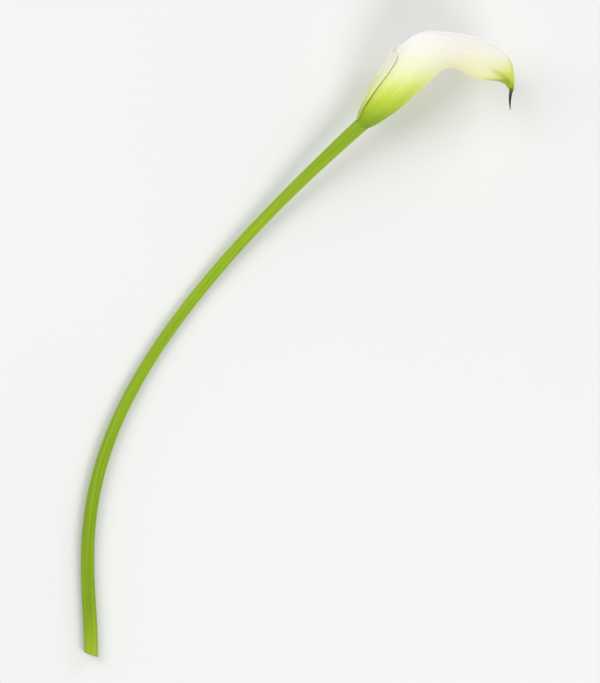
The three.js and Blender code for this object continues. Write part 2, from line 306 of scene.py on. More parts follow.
def vein_angle(turn, length):
    """The angle between a vein and the axis, at a length from the foot."""
    to_back = np.maximum(cos_deg(turn), 0)
    to_front = np.maximum(-cos_deg(turn), 0)
    back = to_back ** BACK_SHARPNESS
    front = to_front ** FRONT_SHARPNESS
    side = 1 - back - front
    bulge = FOOT_BULGE * (length / FOOT_BULGE_LENGTH) * np.exp(1 - length / FOOT_BULGE_LENGTH)
    rim = vein_length(turn)
    rim_curl = RIM_CURL * smoothstep(length, rim - RIM_CURL_START, rim + RIM_CURL_END)
    side_gain, side_from, side_to = SIDE_OPENING
    opening = (side_gain - SIDE_OPENING_BACK_LOSS * to_back) * smoothstep(length, side_from, side_to)
    back_angle = BACK_FLARE + bend_sum(np.minimum(length, RIM_LENGTH), BACK_BENDS)
    back_angle = mix(back_angle, TAIL_FALL, smoothstep(length, RIM_LENGTH, RIM_LENGTH + TAIL_BEND_LENGTH))
    side_angle = SIDE_FLARE + bend_sum(length, SIDE_BENDS) + opening + rim_curl
    front_angle = FRONT_FLARE + bend_sum(length, FRONT_BENDS)
    start = smoothstep(length, 0, BASE_RADIUS / 2)
    return start * (bulge + back * back_angle + side * side_angle + front * front_angle)


def vein_point(turn, length):
    """A point of the smooth surface, before it has its spiral, relief and thickness."""
    step = length / VEIN_STEPS
    radius = np.full(np.shape(length), BASE_RADIUS)
    height = np.zeros(np.shape(length))
    for index in range(VEIN_STEPS):
        angle = vein_angle(turn, (index + 0.5) * step)
        radius = radius + sin_deg(angle) * step
        height = height + cos_deg(angle) * step
    back = radius * cos_deg(turn)
    taper = 1 - LIMB_TAPER * smoothstep(back, LIMB_TAPER_FROM, LIMB_TAPER_TO)
    return np.stack([back, radius * sin_deg(turn) * taper, height], axis=-1)


def vein_normal(turn, length):
    below = np.maximum(length - NORMAL_REACH, 0)
    around = vein_point(turn + NORMAL_REACH, length) - vein_point(turn - NORMAL_REACH, length)
    along = vein_point(turn, below + 2 * NORMAL_REACH) - vein_point(turn, below)
    return unit(np.cross(around, along))


def sheet_place(across, along):
    """Turn, length and rise of a place in the sheet, which is a square with two rounded corners."""
    n = CORNER_ROUNDNESS
    reach = across * (1 - along ** n / 2) ** (1 / n)
    rise = along * (1 - np.abs(across) ** n / 2) ** (1 / n)
    outer_sweep = mix(OUTER_SWEEP_BASE, OUTER_SWEEP_RIM, smoothstep(rise, 0, 1))
    outer_sweep = outer_sweep - FOOT_CORNER * np.exp(-rise * VEIN_MEAN / FOOT_CORNER_LENGTH)
    turn = reach * np.where(reach > 0, outer_sweep, INNER_SWEEP)
    return turn, rise * drawn_length(turn), rise


def vein_drift(turn, rise):
    """The turn at which the vein that passes here starts: veins curve towards the tip on their way up."""
    return turn * (1 + VEIN_DRIFT * smoothstep(rise, VEIN_DRIFT_FROM, 1) * cos_deg(turn / 2) ** 2)


def crease_share(turn, length):
    """How deep in one of the two folds that run back from the tail's root a place is, from 0 to 1."""
    away = (RIM_LENGTH - length) / CREASE_LENGTH
    share = np.clip(away, 0, 1)
    line = CREASE_TURN * share ** CREASE_BOW
    radius = LIMB_RADIUS - CREASE_RADIUS_LOSS * share
    offset = np.radians(np.abs(turn) - line) * radius * CREASE_TAPER
    fade = smoothstep(away, *CREASE_START) * (1 - smoothstep(away, *CREASE_END))
    return fade * bell(offset, CREASE_WIDTH)


def rim_wave(turn, rise):
    """The soft wave of the free rim, and the ripple on it."""
    wave = RIM_WAVE * rise ** RIM_WAVE_SHARPNESS * sin_deg(RIM_WAVES * turn + RIM_WAVE_TURN)
    ripples = sum(share * sin_deg(count * turn + start) for count, start, share in RIPPLE_WAVES)
    return wave + RIPPLE * rise ** RIPPLE_SHARPNESS * ripples


def sheet_offset(turn, length, rise):
    """How far the middle of the sheet stands out from the smooth surface."""
    foot = np.where(turn > 0, FOOT_CLING, SPIRAL_FOOT_SHARE)
    spiral = SPIRAL_STEP * turn / 180 * mix(foot, 1, smoothstep(length, 0, SPIRAL_FOOT_LENGTH))
    ribs = RIB_HEIGHT * smoothstep(length, *RIB_SPAN) * cos_deg(360 * vein_drift(turn, rise) / RIB_TURN)
    radius = mix(TUBE_RADIUS, LIMB_RADIUS, smoothstep(length, *LIMB_RADIUS_SPAN))
    keel = KEEL_HEIGHT * smoothstep(length, *KEEL_SPAN) * bell(np.radians(turn) * radius, KEEL_WIDTH)
    return spiral + rim_wave(turn, rise) + ribs + keel - CREASE_DEPTH * crease_share(turn, length)


def tail_growth(run):
    """Radius of the thickened midrib and how far it stands out, at a length past the start of its root."""
    radius = mix(TAIL_ROOT_RADIUS, TAIL_RADIUS, smoothstep(run, 0, TAIL_ROOT))
    return radius, TAIL_KEEL * np.maximum(radius - SHEET_THICKNESS / 2, 0)


def sheet_halves(turn, length, edge):
    """How far the sheet's outer and inner face are from its middle. Both swell round the thickened midrib."""
    plain = mix(RIM_THICKNESS, SHEET_THICKNESS, smoothstep(edge, 0, RIM_THINNING)) / 2
    beyond = length - RIM_LENGTH
    radius, keel = tail_growth(beyond + TAIL_ROOT)
    sideways = vein_point(turn, length)[..., 1]
    start = smoothstep(beyond, -TAIL_ROOT - SWELL_BEFORE_ROOT, -TAIL_ROOT + SWELL_PAST_ROOT)
    end = 1 - smoothstep(beyond, 0, SWELL_CUSP_SHARE * CUSP)
    share = start * end * bell(sideways, radius + SWELL_SIDE)
    n = SWELL_ROUNDNESS
    return [(plain ** n + (each * share) ** n) ** (1 / n) for each in (radius + keel, radius - keel)]


# Meshes

def make_piece(name, points, faces, values, materials, face_materials=None):
    """A smooth mesh from points in millimetres, with named numbers for each vertex."""
    mesh = bpy.data.meshes.new(name)
    mesh.from_pydata(np.asarray(points) * METRES, [], faces)
    for label, numbers in values.items():
        numbers = np.asarray(numbers, np.float32)
        kind = "FLOAT_VECTOR" if numbers.ndim == 2 else "FLOAT"
        layer = mesh.attributes.new(label, kind, "POINT")
        layer.data.foreach_set("vector" if numbers.ndim == 2 else "value", numbers.ravel())
    mesh.polygons.foreach_set("use_smooth", np.ones(len(mesh.polygons), bool))
    for material in materials:
        mesh.materials.append(material)
    if face_materials is not None:
        mesh.polygons.foreach_set("material_index", np.asarray(face_materials, np.int32))
    mesh.update()
    piece = bpy.data.objects.new(name, mesh)
    bpy.context.scene.collection.objects.link(piece)
    return piece


def number_rings(count, sides):
    """Vertex numbers of rings that follow one another."""
    return np.arange(count * sides).reshape(count, sides).tolist()


def tube_faces(rings):
    """Quads between each ring of vertex numbers and the next one."""
    faces = []
    for first, second in zip(rings, rings[1:]):
        after = [(k + 1) % len(first) for k in range(len(first))]
        faces += [(first[k], first[n], second[n], second[k]) for k, n in enumerate(after)]
    return faces


def fan_faces(ring, middle):
    """Triangles between a ring of vertex numbers and a point in its middle."""
    return [(corner, ring[(k + 1) % len(ring)], middle) for k, corner in enumerate(ring)]


def flipped(faces):
    return [tuple(reversed(face)) for face in faces]


def ring_points(centre, direction, side, radius, turns):
    """Points round a centre, square to a direction. The radius may differ from point to point."""
    along = unit(direction)
    across = unit(side - along * np.dot(side, along))
    up = np.cross(along, across)
    return centre + np.outer(radius * np.cos(turns), across) + np.outer(radius * np.sin(turns), up)


# Spathe: the sheet, with its rim rounded off, and the tail

def sheet_grid():
    """Places across and along the sheet, in columns and rows."""
    position = np.linspace(-1, 1, SHEET_CELLS_ROUND + 1)
    across = np.sign(position) * np.abs(position) ** ROUND_CROWDING
    along = 1 - (1 - np.linspace(0, 1, SHEET_CELLS_ALONG + 1)) ** ALONG_CROWDING
    return np.meshgrid(across, along, indexing="ij")


def rim_loop(columns, rows):
    """Columns and rows of the places round the sheet's edge, in order."""
    loop = [(i, 0) for i in range(columns - 1)]
    loop += [(columns - 1, j) for j in range(rows - 1)]
    loop += [(i, rows - 1) for i in range(columns - 1, 0, -1)]
    loop += [(0, j) for j in range(rows - 1, 0, -1)]
    return tuple(np.array(loop).T)


def rim_arcs(rim, middle, normal, halves):
    """Loops of points that round the edge off, from the outer face to the inner one."""
    columns, rows = middle.shape[:2]
    within = (np.clip(rim[0], 1, columns - 2), np.clip(rim[1], 1, rows - 2))
    outward = middle[rim] - middle[within]
    outward = unit(outward - normal[rim] * np.sum(outward * normal[rim], axis=-1, keepdims=True))
    outer_half, inner_half = (half[rim] for half in halves)
    nose = np.minimum(outer_half, inner_half)
    arcs = []
    for step in range(1, RIM_ARC_STEPS):
        angle = math.pi * step / RIM_ARC_STEPS
        half = outer_half if angle < math.pi / 2 else inner_half
        arcs.append(middle[rim] + half * math.cos(angle) * normal[rim] + nose * math.sin(angle) * outward)
    return arcs


def sheet_faces(columns, rows, rim):
    """Quads of the outer face, the inner face and the rounded edge between them."""
    side = columns * rows
    number = np.arange(side).reshape(columns, rows)
    corners = [number[:-1, :-1], number[1:, :-1], number[1:, 1:], number[:-1, 1:]]
    quads = np.stack(corners, axis=-1).reshape(-1, 4).tolist()
    faces = [tuple(quad) for quad in quads]
    faces += [tuple(corner + side for corner in reversed(quad)) for quad in quads]
    around = len(rim[0])
    loops = [number[rim]]
    loops += [np.arange(around) + 2 * side + index * around for index in range(RIM_ARC_STEPS - 1)]
    loops.append(number[rim] + side)
    return faces + flipped(tube_faces([loop.tolist() for loop in loops]))


def sheet_mesh():
    """Points, faces and named numbers of the sheet."""
    across, along = sheet_grid()
    turn, length, rise = sheet_place(across, along)
    smooth = vein_point(turn, length)
    radius = np.hypot(smooth[..., 0], smooth[..., 1])
    sweep = np.where(across > 0, OUTER_SWEEP_RIM, INNER_SWEEP)
    edge = np.minimum((1 - np.abs(across)) * np.radians(sweep) * radius, (1 - along) * drawn_length(turn))
    middle = smooth + vein_normal(turn, length) * sheet_offset(turn, length, rise)[..., None]
    normal = unit(np.cross(np.gradient(middle, axis=0), np.gradient(middle, axis=1)))
    halves = [half[..., None] for half in sheet_halves(turn, length, edge)]
    rim = rim_loop(*across.shape)
    arcs = rim_arcs(rim, middle, normal, halves)
    sides = [middle + normal * halves[0], middle - normal * halves[1]]
    points = np.concatenate([side.reshape(-1, 3) for side in sides] + arcs)

    sideways = np.abs(smooth[..., 1])
    beyond = length - RIM_LENGTH
    grids = {
        "turn": turn,
        "length": length,
        "edge": edge,
        "margin": (1 - across) * np.radians(OUTER_SWEEP_RIM) * radius,
        "tipward": np.where(beyond > 0, beyond - sideways, -np.hypot(beyond, sideways)),
        "climb": sin_deg(AXIS_LEAN) * middle[..., 2] - cos_deg(AXIS_LEAN) * middle[..., 0],
        "crease": crease_share(turn, length),
        "vein": vein_drift(turn, rise),
    }
    values = {}
    for label, grid in grids.items():
        values[label] = np.concatenate([grid.ravel(), grid.ravel()] + [grid[rim]] * len(arcs))
    arc_inside = [np.full(len(arc), (index + 1) / RIM_ARC_STEPS) for index, arc in enumerate(arcs)]
    values["inside"] = np.concatenate([np.zeros(turn.size), np.ones(turn.size)] + arc_inside)
    return points, sheet_faces(*across.shape, rim), values


def tail_mesh():
    """Points and faces of the midrib's end, a tapering tube, and how far past the rim each point is."""
    step = (TAIL_ROOT + TAIL_LENGTH) / TAIL_STEPS
    beyond = np.arange(TAIL_STEPS + 1) * step - TAIL_ROOT
    length = RIM_LENGTH + beyond
    angle = vein_angle(0.0, length) + TAIL_SWAY * smoothstep(beyond, TAIL_BEND_LENGTH, TAIL_LENGTH)
    ahead = np.stack([sin_deg(angle), np.zeros(len(angle)), cos_deg(angle)], axis=-1)
    outward = np.stack([cos_deg(angle), np.zeros(len(angle)), -sin_deg(angle)], axis=-1)
    growing, keel = tail_growth(beyond + TAIL_ROOT)
    radius = mix(growing, TAIL_TIP_RADIUS, np.clip(beyond / TAIL_LENGTH, 0, 1) ** TAIL_TAPER)
    into_end = np.clip((beyond - TAIL_LENGTH + TAIL_END_LENGTH) / TAIL_END_LENGTH, 0, 1)
    radius = radius * np.sqrt(1 - (TAIL_END_ROUNDNESS * into_end) ** 2)
    rise = np.minimum(length / float(drawn_length(0.0)), 1)
    sheet = sheet_offset(0.0, np.minimum(length, RIM_LENGTH + CUSP), rise)

    turns = np.arange(TAIL_SIDES) / TAIL_SIDES * 2 * math.pi
    side = np.array([0.0, 1.0, 0.0])
    centre = np.array(vein_point(0.0, RIM_LENGTH - TAIL_ROOT))
    rings = []
    for index in range(TAIL_STEPS + 1):
        middle = centre + outward[index] * (sheet[index] + keel[index])
        rings.append(ring_points(middle, ahead[index], side, radius[index], turns))
        centre = centre + ahead[index] * step
    tip = rings[-1].mean(axis=0) + ahead[-1] * TAIL_END_POINT
    root = rings[0].mean(axis=0)
    points = np.concatenate(rings + [tip[None], root[None]])

    number = number_rings(len(rings), TAIL_SIDES)
    faces = tube_faces(number)
    faces += fan_faces(number[-1], len(points) - 2)
    faces += flipped(fan_faces(number[0], len(points) - 1))
    return points, faces, np.concatenate([np.repeat(beyond, TAIL_SIDES), [TAIL_LENGTH, -TAIL_ROOT]])


# Spadix: a finger, with a floret at each crossing of its rows and columns

def spadix_mesh():
    rows = round(SPADIX_LENGTH / FLORET_ROW)
    level = np.arange(rows * SPADIX_SAMPLES_ROW + 1)
    share = (level / level[-1])[:, None]
    row = (level // SPADIX_SAMPLES_ROW)[:, None]
    in_row = (level / SPADIX_SAMPLES_ROW % 1)[:, None]
    turn = (np.arange(SPADIX_SAMPLES_ROUND) / SPADIX_SAMPLES_ROUND * 2 * math.pi)[None, :]
    into_dome = np.clip((share - SPADIX_DOME_START) / (1 - SPADIX_DOME_START), 0, 1)
    dome = np.sqrt(1 - (SPADIX_DOME_ROUNDNESS * into_dome) ** 2)
    swell = smoothstep(share, SPADIX_FOOT_END, SPADIX_SWELL_END)
    body = mix(SPADIX_FOOT_RADIUS, SPADIX_RADIUS, swell) * dome
    bump_round = (1 + np.cos(FLORETS_ROUND * turn + math.pi * row)) / 2
    bump = (bump_round * np.sin(math.pi * in_row) ** 2) ** FLORET_FLATNESS
    radius = body + FLORET_HEIGHT * bump * dome * smoothstep(share, FLORETS_START, FLORETS_FULL)
    height = share * SPADIX_LENGTH + np.zeros_like(radius)
    rings = np.stack([radius * np.cos(turn), radius * np.sin(turn), height], axis=-1)
    rings[0, :, 2] -= TOUCH_GAP
    points = np.concatenate([rings.reshape(-1, 3), [[0, 0, -TOUCH_GAP], [0, 0, SPADIX_LENGTH]]])

    number = number_rings(len(level), SPADIX_SAMPLES_ROUND)
    faces = tube_faces(number)
    faces += flipped(fan_faces(number[0], len(points) - 2))
    faces += fan_faces(number[-1], len(points) - 1)
    values = {
        "floret": np.concatenate([bump.ravel(), [0, 1]]),
        "share": np.concatenate([(share + np.zeros_like(radius)).ravel(), [0, 1]]),
    }
    return points, faces, values


# Stem: skin, neck and cut face, in the room's own frame. A ring is its points and, at each of them, the two
# named numbers that the materials read: where in the skin it is, and how far along.

def stem_ring(points, across, share, along):
    skin = (across * np.cos(STEM_TURNS), across * np.sin(STEM_TURNS), np.full(STEM_SIDES, share))
    return points, np.stack(skin, axis=-1), np.full(STEM_SIDES, along)


def stem_curve():
    """The centre line from above, as points and the length run at each."""
    pulls = np.array([STEM_FOOT, STEM_FOOT_PULL, STEM_TOP_PULL, STEM_TOP])
    t = np.linspace(0, 1, STEM_SAMPLES)[:, None]
    weights = np.hstack([(1 - t) ** 3, 3 * t * (1 - t) ** 2, 3 * t ** 2 * (1 - t), t ** 3])
    line = weights @ pulls + BLOOM_BASE[:2] - pulls[-1]
    run = np.concatenate([[0], np.cumsum(np.linalg.norm(np.diff(line, axis=0), axis=1))])
    return line, run


def stem_radius(share, length):
    from_top = (1 - share) * length
    swell = (STEM_TOP_RADIUS - STEM_RADIUS) * np.maximum(1 - from_top / STEM_SWELL_LENGTH, 0) ** 2
    foot = (STEM_CUT_RADIUS - STEM_RADIUS) * (1 - smoothstep(share, 0, STEM_REST))
    return STEM_RADIUS + swell + foot


def stem_height(share, radius, length):
    """Height of the centre: low over the surface up to STEM_REST, then rising to the bloom."""
    rise = BLOOM_BASE[2] - STEM_RADIUS * STEM_FLAT
    power = math.tan(math.radians(AXIS_PITCH)) * (1 - STEM_REST) * length / rise
    resting = radius * STEM_FLAT + STEM_LIFT * np.sin(np.pi * np.minimum(share / STEM_REST, 1)) ** 2
    lifting = STEM_RADIUS * STEM_FLAT + rise * np.clip((share - STEM_REST) / (1 - STEM_REST), 0, 1) ** power
    return np.where(share < STEM_REST, resting, lifting)


def skin_rings(share, length, centre, direction, level, radius):
    """Rings of the ribbed skin. Those near the foot slant with the cut."""
    waves = [height * np.cos(count * STEM_TURNS + phase) for count, height, phase in STEM_RIBS]
    ribs = STEM_RIB_HEIGHT * sum(waves)
    rings = []
    for index in range(STEM_STEPS + 1):
        points = ring_points(centre[index], direction[index], level[index], radius[index] + ribs, STEM_TURNS)
        slant = CUT_SLANT * max(0.0, 1 - share[index] * length / CUT_SLANT_LENGTH)
        points += np.outer((points - centre[index]) @ unit(level[index]) * slant, direction[index])
        rings.append(stem_ring(points, 1.0, share[index], share[index] * length))
    return rings


def neck_rings(top, direction, level, length):
    slim = NECK_RADIUS / STEM_TOP_RADIUS
    rings = []
    for factor, lift in (*NECK_SHOULDER, (slim, NECK_START), (slim, NECK_HEIGHT)):
        middle = top + DIRECTIONS[2] * lift
        points = ring_points(middle, direction, level, factor * STEM_TOP_RADIUS, STEM_TURNS)
        rings.append(stem_ring(points, 1.0, 1.0, length))
    return rings


def cut_rings(centre, rim, direction):
    """Rings of the cut face, a little hollow. Along it runs below 0, to -1 in the middle."""
    rings = []
    for step in range(1, CUT_RINGS + 1):
        inward = step / CUT_RINGS
        factor = CUT_EDGE * (1 - inward) + CUT_MIDDLE
        depth = CUT_HOLLOW * smoothstep(inward, 0, CUT_HOLLOW_REACH)
        points = centre + (rim - centre) * factor + direction * depth
        rings.append(stem_ring(points, factor, 0.0, -inward))
    return rings


def stem_mesh():
    """Points, faces, named numbers and the material of each face, 0 for the skin and 1 for the cut."""
    line, run = stem_curve()
    length = run[-1]
    share = np.linspace(0, 1, STEM_STEPS + 1)
    radius = stem_radius(share, length)
    seen_from_above = [np.interp(share * length, run, line[:, axis]) for axis in (0, 1)]
    centre = np.stack([*seen_from_above, stem_height(share, radius, length)], axis=-1)
    to_bloom = smoothstep(share, 1 - STEM_TURN_LENGTH / length, 1)[:, None]
    direction = unit(mix(unit(np.gradient(centre, axis=0)), DIRECTIONS[2], to_bloom))
    level = np.cross([0.0, 0.0, 1.0], direction)
    body = skin_rings(share, length, centre, direction, level, radius)
    body += neck_rings(centre[-1], direction[-1], level[-1], length)
    cut = cut_rings(centre[0], body[0][0], direction[0])

    number = number_rings(len(body) + len(cut), STEM_SIDES)
    skin_faces = tube_faces(number[:len(body)])
    cut_faces = flipped(tube_faces([number[0]] + number[len(body):]))
    cut_faces.append(tuple(reversed(number[-1])))
    top_face = tuple(number[len(body) - 1])
    faces = skin_faces + cut_faces + [top_face]
    face_materials = [0] * len(skin_faces) + [1] * len(cut_faces) + [0]
    points, skin, along = (np.concatenate(each) for each in zip(*body, *cut))
    points[:, 2] = np.maximum(points[:, 2], 0)
    return points, faces, {"skin": skin, "along": along}, face_materials


# Materials. A shade is a colour as it looks on a screen, 0 to 255, and a stop is a value and the shade there.
# A tint is a shade and the spans that its strength is the product of. A span is a named number, the values of
# it between which the strength changes, and the strength at each, 0 and 1 where it isn't given. A name alone
# is a strength itself.

SCREEN_GAMMA = 2.2
NOISE_MEAN = 0.5
HALF_WAY = 0.5
MIX_SHARE, MIX_FIRST, MIX_SECOND, MIX_RESULT = 0, 6, 7, 2


def colour(shade):
    """A shade in the linear values that shaders take."""
    return tuple((each / 255) ** SCREEN_GAMMA for each in shade) + (1.0,)


class Paint:
    """A material whose nodes are added one by one, each wired to what feeds it."""

    def __init__(self, name, shader_values):
        self.material = bpy.data.materials.new(name)
        self.material.use_nodes = True
        self.tree = self.material.node_tree
        self.shader = self.tree.nodes["Principled BSDF"]
        for socket, value in shader_values.items():
            self.shader.inputs[socket].default_value = value

    def feed(self, socket, value):
        if isinstance(value, bpy.types.NodeSocket):
            self.tree.links.new(value, socket)
        else:
            socket.default_value = value

    def add(self, kind, inputs=(), **settings):
        node = self.tree.nodes.new("ShaderNode" + kind)
        for key, value in settings.items():
            setattr(node, key, value)
        for socket, value in dict(inputs).items():
            self.feed(node.inputs[socket], value)
        return node

    def number(self, name):
        return self.add("Attribute", attribute_name=name).outputs["Fac"]

    def vector(self, name):
        return self.add("Attribute", attribute_name=name).outputs["Vector"]

    def place(self):
        return self.add("TexCoord").outputs["Object"]

    def maths(self, operation, *values):
        return self.add("Math", dict(enumerate(values)), operation=operation).outputs[0]

    def plus(self, first, *others):
        for other in others:
            first = self.maths("ADD", first, other)
        return first

    def times(self, first, *others):
        for other in others:
            first = self.maths("MULTIPLY", first, other)
        return first

    def combine(self, x, y):
        return self.add("CombineXYZ", {0: x, 1: y}).outputs[0]

    def stretch(self, vector, factors):
        return self.add("VectorMath", {0: vector, 1: factors}, operation="MULTIPLY").outputs[0]

    def noise(self, vector, scale=1.0, detail=2.0):
        inputs = {"Vector": vector, "Scale": scale, "Detail": detail}
        return self.add("TexNoise", inputs).outputs["Fac"]

    def span(self, value, low, high, to_low=0.0, to_high=1.0):
        """The value's place between low and high, eased, from to_low to to_high."""
        inputs = {"Value": value, "From Min": low, "From Max": high, "To Min": to_low, "To Max": to_high}
        return self.add("MapRange", inputs, interpolation_type="SMOOTHSTEP").outputs["Result"]

    def strength(self, numbers, spans):
        """The product of the spans."""
        factors = [self.span(numbers[name], *limits) if limits else numbers[name] for name, *limits in spans]
        return self.times(*factors)

    def blend(self, share, first, second, blend_type="MIX"):
        node = self.add("Mix", data_type="RGBA", blend_type=blend_type)
        self.feed(node.inputs[MIX_SHARE], share)
        self.feed(node.inputs[MIX_FIRST], first)
        self.feed(node.inputs[MIX_SECOND], second)
        return node.outputs[MIX_RESULT]

    def tinted(self, base, numbers, tints):
        """The base colour with the tints laid over it in their order."""
        for shade, *spans in tints:
            base = self.blend(self.strength(numbers, spans), base, colour(shade))
        return base

    def ramp(self, value, stops):
        """The colour at a value between stops."""
        low, high = stops[0][0], stops[-1][0]
        node = self.add("ValToRGB")
        self.feed(node.inputs["Fac"], self.maths("DIVIDE", self.maths("SUBTRACT", value, low), high - low))
        elements = node.color_ramp.elements
        while len(elements) < len(stops):
            elements.new(HALF_WAY)
        for element, (stop, shade) in zip(elements, stops):
            element.position = (stop - low) / (high - low)
            element.color = colour(shade)
        return node.outputs["Color"]

    def bump(self, height, distance):
        """Relief of that many millimetres where the height is 1."""
        return self.add("Bump", {"Height": height, "Distance": distance * METRES}).outputs["Normal"]

    def finish(self, base, normal=None, roughness=None):
        self.feed(self.shader.inputs["Base Color"], base)
        if normal is not None:
            self.feed(self.shader.inputs["Normal"], normal)
        if roughness is not None:
            self.feed(self.shader.inputs["Roughness"], roughness)
        return self.material


# Petal. Climb is how high a place is when the flower stands as it grew, and tipward is how far it is past the
# rim's end at the tail, below 0 before it. Margin and edge are how far it is from the outer edge and from the
# nearest one, and off_back is degrees from the midrib. A stretch is noise cells to a degree and a millimetre.
PETAL_NUMBERS = ("turn", "vein", "length", "inside", "edge", "margin", "crease", "climb", "tipward")
PETAL_SHADER = {
    "Subsurface Weight": 0.55,
    "Subsurface Radius": (1.0, 0.9, 0.55),
    "Subsurface Scale": 0.0016,
    "Specular IOR Level": 0.32,
    "Sheen Weight": 0.08,
}
PETAL_STOPS = (
    (-6, (104, 140, 2)),
    (5, (146, 178, 6)),
    (12, (184, 208, 48)),
    (20, (212, 229, 98)),
    (27, (232, 239, 157)),
    (34, (243, 243, 202)),
    (44, (248, 245, 232)),
    (60, (251, 247, 247)),
    (70, (251, 247, 247)),
)
# Painted shade: a beige cast on the back of the limb past the crook, where its underside lies in shade.
CROOK_PAINTED_SHADE = ((240, 226, 190), ("length", 54, 66), ("length", 92, 76), ("off_back", 55, 5, 0, 0.45))
THROAT_TINT = ((240, 247, 205), ("inside",), ("length", 62, 32, 0, 0.7))
LIMB_TINT = ((255, 246, 250), ("edge", 9, 0), ("length", 44, 60, 0, 0.75))
MARGIN_TINT = ((243, 242, 218), ("margin", 5, 1.5), ("length", 4, 42, 0.12, 0.8))
TIP_STOPS = (
    (-20, (240, 242, 190)),
    (-8, (216, 225, 108)),
    (-3, (180, 197, 56)),
    (1, (142, 160, 36)),
    (3.8, (98, 112, 34)),
    (6.8, (50, 50, 36)),
    (11, (34, 28, 36)),
    (13.2, (72, 64, 50)),
    (16, (160, 150, 98)),
)
TIP_SPAN = (-20, -5)
# Lip: the edges near the tip greener and darker, partly their own green and partly painted shade where the
# rim curls under.
LIP_GREEN_AND_PAINTED_SHADE = ((198, 210, 82), ("tipward", -26, -12), ("tipward", -1, -6), ("edge", 4.5, 0.5, 0, 0.6))
# Painted shade: the folds from the tail's root darkened where shade lies in them, mostly on the outer face.
FOLD_PAINTED_SHADE = ((156, 172, 50), ("crease",), ("tipward", -24, -6, 0, 0.42), ("inside", 0, 1, 1, 0.2))
KEEL_TINT = ((140, 160, 34), ("off_back", 9, 1), ("tipward", -22, -6, 0, 0.6), ("tipward", 0, -4))
STREAK_STRETCH = (0.32, 0.02)
STREAK_DETAIL = 3.0
STREAK_SHIFT = 9.0
CLOUD_STRETCH = (0.03, 0.04)
CLOUD_SHIFT = 8.0
INSIDE_SHIFT = 12.0
TIP_SHIFT_SHARE = 0.4
LINE_TURN = 3.6
LINE_WANDER = 2.0
LINE_SHADE = (206, 216, 130)
LINE_SHARE = 0.07
LINE_TIP_SPAN = (-22, -4, 0, 0.3)
LINE_WIDTH_SPAN = (0.3, 1)
LINE_RELIEF = 0.5
GRAIN_RELIEF = 0.5
GRAIN_SCALE = 2200.0
GRAIN_DETAIL = 1.0
PETAL_RELIEF = 0.035
PETAL_ROUGHNESS_SPAN = (0.2, 0.8, 0.36, 0.5)


def petal_material():
    """Waxy petal tissue: lime at the foot, then cream, near white at the rim, green at the tip, and dark on
    the tail, with painted shade past the crook, in the folds near the tip and on the edges there."""
    paint = Paint("petal", PETAL_SHADER)
    numbers = {name: paint.number(name) for name in PETAL_NUMBERS}
    turn, vein, length = (numbers[name] for name in ("turn", "vein", "length"))
    numbers["off_back"] = paint.maths("ABSOLUTE", turn)

    def sheet_noise(around, stretch, detail=2.0):
        place = paint.combine(paint.times(around, stretch[0]), paint.times(length, stretch[1]))
        return paint.noise(place, detail=detail)

    def shifted(value, reach):
        return paint.times(paint.maths("SUBTRACT", value, NOISE_MEAN), reach)

    streak = sheet_noise(vein, STREAK_STRETCH, STREAK_DETAIL)
    cloud = sheet_noise(turn, CLOUD_STRETCH)
    shift = paint.plus(shifted(streak, STREAK_SHIFT), shifted(cloud, CLOUD_SHIFT))
    climb = paint.plus(numbers["climb"], shift, paint.times(numbers["inside"], INSIDE_SHIFT))
    base = paint.ramp(climb, PETAL_STOPS)
    base = paint.tinted(base, numbers, (CROOK_PAINTED_SHADE, THROAT_TINT, LIMB_TINT, MARGIN_TINT))

    tipward = paint.plus(numbers["tipward"], paint.times(shift, TIP_SHIFT_SHARE))
    numbers["tipward"] = tipward
    base = paint.blend(paint.span(tipward, *TIP_SPAN), base, paint.ramp(tipward, TIP_STOPS))
    base = paint.tinted(base, numbers, (LIP_GREEN_AND_PAINTED_SHADE, FOLD_PAINTED_SHADE, KEEL_TINT))

    line_phase = paint.plus(vein, paint.times(streak, LINE_WANDER))
    line = paint.maths("SINE", paint.times(line_phase, 2 * math.pi / LINE_TURN))
    line_share = paint.plus(LINE_SHARE, paint.span(tipward, *LINE_TIP_SPAN))
    line_share = paint.times(line_share, paint.span(line, *LINE_WIDTH_SPAN))
    base = paint.blend(line_share, base, colour(LINE_SHADE), "MULTIPLY")

    grain = paint.noise(paint.place(), GRAIN_SCALE, GRAIN_DETAIL)
    relief = paint.plus(paint.times(line, LINE_RELIEF), streak, paint.times(grain, GRAIN_RELIEF))
    return paint.finish(base, paint.bump(relief, PETAL_RELIEF), paint.span(streak, *PETAL_ROUGHNESS_SPAN))


# Stem's skin. Its stops are lengths from the cut.
STEM_SHADER = {
    "Subsurface Weight": 0.12,
    "Subsurface Radius": (0.6, 1.0, 0.2),
    "Subsurface Scale": 0.0012,
    "Specular IOR Level": 0.28,
}
STEM_STOPS = (
    (0, (150, 176, 48)),
    (25, (112, 146, 4)),
    (160, (124, 158, 2)),
    (300, (142, 176, 3)),
    (380, (132, 166, 2)),
)
STEM_TINTS = (
    ((168, 200, 14), ("fine", 0.3, 0.75, 0, 0.7)),
    ((98, 132, 8), ("broad", 0.35, 0.75, 0, 0.4)),
)
FINE_STRETCH = (9.0, 9.0, 7.0)
FINE_DETAIL = 4.0
BROAD_STRETCH = (1.6, 1.6, 5.0)
STEM_RELIEF = 0.06
STEM_ROUGHNESS_SPAN = (0.3, 0.7, 0.34, 0.46)


def stem_material():
    """Waxy green skin with fine streaks along it."""
    paint = Paint("stem_skin", STEM_SHADER)
    skin = paint.vector("skin")
    fine = paint.noise(paint.stretch(skin, FINE_STRETCH), detail=FINE_DETAIL)
    broad = paint.noise(paint.stretch(skin, BROAD_STRETCH))
    base = paint.ramp(paint.number("along"), STEM_STOPS)
    base = paint.tinted(base, {"fine": fine, "broad": broad}, STEM_TINTS)
    return paint.finish(base, paint.bump(fine, STEM_RELIEF), paint.span(fine, *STEM_ROUGHNESS_SPAN))


